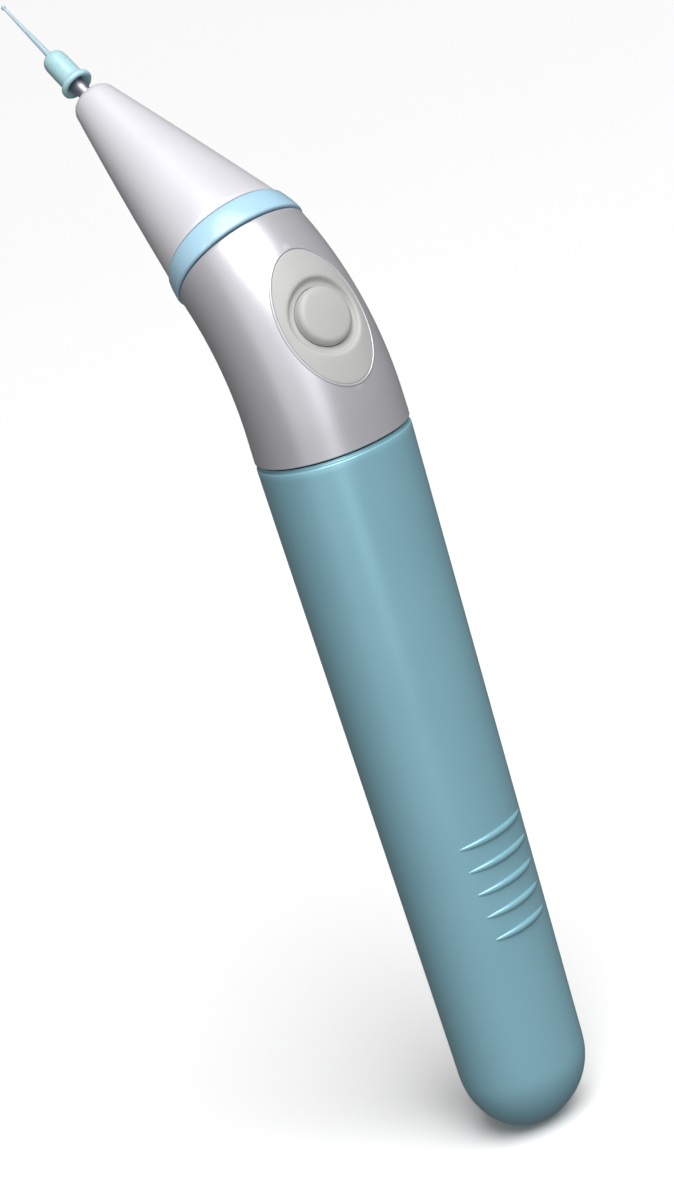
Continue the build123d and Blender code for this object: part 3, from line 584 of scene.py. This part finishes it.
def make_dome():
    """The round thumb button, slightly crowned."""
    top = pad_face + dome_proud
    flat = dome_radius - dome_rounding
    rows = [(top - dome_crown * (radius / dome_radius) ** 2, radius) for radius in spread(0.0, flat, 8)]
    edge = rows[-1][0]
    for turn in spread(15, 90, 6):
        angle = math.radians(turn)
        drop = dome_rounding * (1 - math.cos(angle)) * 0.9
        rows.append((edge - drop, flat + dome_rounding * math.sin(angle)))
    rows += [(edge - dome_side, dome_radius), (edge - dome_foot, dome_radius)]
    dome = turned("thumb_dome", rows, pad_centre, pad_normal, 64)
    smooth(dome, 60)
    finish_piece(dome, "button", "soft_pad", pad_grey, "button_cap")


def make_ring():
    """The accent ring between the head and the nose."""
    low = ring_start + 0.12 * mm
    high = nose_start - 0.12 * mm
    profile = [(low, -1.0), (low, -0.2), (low + 0.02 * mm, 0.08), (low + 0.10 * mm, 0.24),
               (low + 0.3 * mm, 0.35), (low + 0.9 * mm, 0.4), ((low + high) / 2, 0.42),
               (high - 0.9 * mm, 0.4), (high - 0.3 * mm, 0.35), (high - 0.10 * mm, 0.24),
               (high - 0.02 * mm, 0.08), (high, -0.2), (high, -1.0)]
    ring = rolled("accent_band", [(s, out * mm) for s, out in profile], place_on_skin)
    smooth(ring, 60)
    finish_piece(ring, "root", "accent_blue", ring_blue, "accent_ring")


def make_nose():
    """The tapering nose, rounded at its end and turned in to its hole."""
    rows = [(nose_start + 0.02 * mm, -1.2 * mm), (nose_start + 0.02 * mm, -0.25 * mm),
            (nose_start + 0.12 * mm, -0.05 * mm), (nose_start + 0.3 * mm, 0)]
    rows += [(s, 0) for s in spread(nose_start + 1 * mm, nose_end - nose_rounding, 34)]
    for turn in spread(9, 81, 9):
        angle = math.radians(turn)
        s = nose_end - nose_rounding * (1 - math.sin(angle))
        rows.append((s, -nose_rounding * (1 - math.cos(angle))))
    rows += [(nose_end - 0.05 * mm, -1.62 * mm), (nose_end - 0.5 * mm, -1.72 * mm),
             (nose_end - 3.2 * mm, -2.6 * mm)]
    nose = rolled("nose_shell", rows, place_on_skin)
    smooth(nose, 50)
    finish_piece(nose, "root", "housing_grey", nose_white, "nose_cone")


# ------------------------------------------------------------------
# Push-on tip
# ------------------------------------------------------------------
def make_hub():
    """The hub with its flange; its profile is (ahead, radius) in millimetres."""
    profile = [(5.2, 1.26), (1.5, 1.26), (0.9, 1.45), (0.3, 1.85), (0.05, 2.15), (0.0, 2.35), (0.06, 2.6),
               (0.25, 2.76), (0.5, 2.8), (0.8, 2.76), (1.0, 2.64), (1.12, 2.45), (1.25, 2.26), (1.5, 2.14),
               (1.9, 2.1), (3.5, 2.1), (5.2, 2.08), (6.1, 2.05), (6.5, 2.0), (6.8, 1.9), (7.15, 1.68),
               (7.4, 1.38), (7.55, 1.0), (7.6, 0.5)]
    rows = [(hub_back + ahead * mm, radius * mm) for ahead, radius in profile]
    hub = turned("pick_hub", rows, pivot, stem_axis)
    smooth(hub, 50)
    finish_piece(hub, "tip", "tip_plastic", hub_aqua, "tip_hub")


def make_pick():
    """The thin tapering pick with a ball at its end."""
    base = hub_front - pick_inside
    rows = [(base, 0.62 * mm), (base + 0.8 * mm, 0.58 * mm)]
    for part in spread(0.1, 0.96, 12):
        ahead = base + (pick_tip - pick_ball - base) * part
        rows.append((ahead, (0.56 - 0.36 * part) * mm))
    for turn in spread(-50, 88, 12):
        angle = math.radians(turn)
        ahead = pick_tip - pick_ball + pick_ball * math.sin(angle)
        rows.append((ahead, pick_ball * math.cos(angle)))
    pick = turned("pick_needle", rows, pivot, stem_axis, 24)
    smooth(pick, 70)
    finish_piece(pick, "tip", "nylon", pick_nylon, "tip_needle")


make_sleeve()
for number in range(rib_count):
    make_rib(number)
guide = make_housing()
make_pad(guide)
make_lip(guide)
make_dome()
bpy.data.objects.remove(guide)
make_ring()
make_nose()
make_hub()
make_pick()
for node_name, node in nodes.items():
    smooth(node, 30)


# ------------------------------------------------------------------
# Floor, light and camera
# ------------------------------------------------------------------
azimuth = math.radians(-34.42)
elevation = math.radians(16.95)
roll = math.radians(-17.31)
distance = 456.4 * mm
aim_right = 1.26 * mm
aim_down = 25.23 * mm
lens = 87.27
film_width = 36
nearest = 0.01
farthest = 50
floor_side = 8
floor_drop = 0.2 * mm        # from the lowest point to the floor
floor_shade = (0.97, 0.97, 0.97, 1)
background = (1, 1, 1, 1)
key_power = 3.2
key_spread = 50
key_source = Vector((-0.10, -0.5, 0.866))
fill_power = 0.44
fill_spread = 180
towards = Vector((
    math.sin(azimuth) * math.cos(elevation),
    -math.cos(azimuth) * math.cos(elevation),
    math.sin(elevation),
))
level = Vector((math.cos(azimuth), math.sin(azimuth), 0))
rise = towards.cross(level)
right = level * math.cos(roll) + rise * math.sin(roll)
up = rise * math.cos(roll) - level * math.sin(roll)


def make_camera():
    """The camera, with its roll, looking at the middle of the object."""
    data = bpy.data.cameras.new("camera")
    data.lens = lens
    data.sensor_width = film_width
    data.clip_start = nearest
    data.clip_end = farthest
    camera = bpy.data.objects.new("camera", data)
    bpy.context.scene.collection.objects.link(camera)
    place = right * aim_right - up * aim_down + towards * distance
    camera.matrix_world = Matrix((
        (right.x, up.x, towards.x, place.x),
        (right.y, up.y, towards.y, place.y),
        (right.z, up.z, towards.z, place.z),
        (0, 0, 0, 1),
    ))
    bpy.context.scene.camera = camera


def plain(name, shade, rough=0.9):
    """One flat colour without any detail."""
    material = bpy.data.materials.new(name)
    material.use_nodes = True
    shader = material.node_tree.nodes["Principled BSDF"]
    shader.inputs["Base Color"].default_value = shade
    shader.inputs["Roughness"].default_value = rough
    return material


def light(name, side, height, back, width, tall, power):
    """A soft box aimed at the object; its place is given as the camera sees it."""
    data = bpy.data.lights.new(name, "AREA")
    data.shape = "RECTANGLE"
    data.size = width
    data.size_y = tall
    data.energy = power
    lamp = bpy.data.objects.new(name, data)
    bpy.context.scene.collection.objects.link(lamp)
    place = right * side + up * height + towards * back
    lamp.matrix_world = Matrix.Translation(place) @ place.to_track_quat("Z", "Y").to_matrix().to_4x4()


def make_stage():
    """A white floor and surround that light and reflections pass by."""
    bpy.ops.object.select_all(action="DESELECT")
    floor_level = cad_box[0][2] - floor_drop
    bpy.ops.mesh.primitive_plane_add(size=floor_side, location=(0, 0, floor_level))
    floor = bpy.context.object
    floor.name = "floor"
    floor.data.materials.append(plain("floor_white", floor_shade))
    floor.visible_diffuse = False
    floor.visible_glossy = False
    floor.visible_shadow = False
    world = bpy.data.worlds.new("studio")
    bpy.context.scene.world = world
    world.use_nodes = True
    world.node_tree.nodes["Background"].inputs[0].default_value = background
    world.cycles_visibility.diffuse = False
    world.cycles_visibility.glossy = False


def sun(name, energy, spread_angle, source):
    """A distant lamp shining from the direction of its source."""
    data = bpy.data.lights.new(name, "SUN")
    data.energy = energy
    data.angle = math.radians(spread_angle)
    lamp = bpy.data.objects.new(name, data)
    bpy.context.scene.collection.objects.link(lamp)
    lamp.rotation_mode = "QUATERNION"
    lamp.rotation_quaternion = source.to_track_quat("Z", "Y")


make_stage()
sun("key", key_power, key_spread, key_source)
sun("fill_above", fill_power, fill_spread, Vector((0, 0, 1)))
sun("fill_below", fill_power, fill_spread, Vector((0, 0, -1)))
light("front_box", side=-0.10, height=0.05, back=0.55, width=0.8, tall=1.0, power=1.8)
light("strip", side=0.12, height=0.05, back=0.5, width=0.16, tall=0.8, power=0.5)
make_camera()
bpy.context.scene.view_settings.view_transform = "Standard"
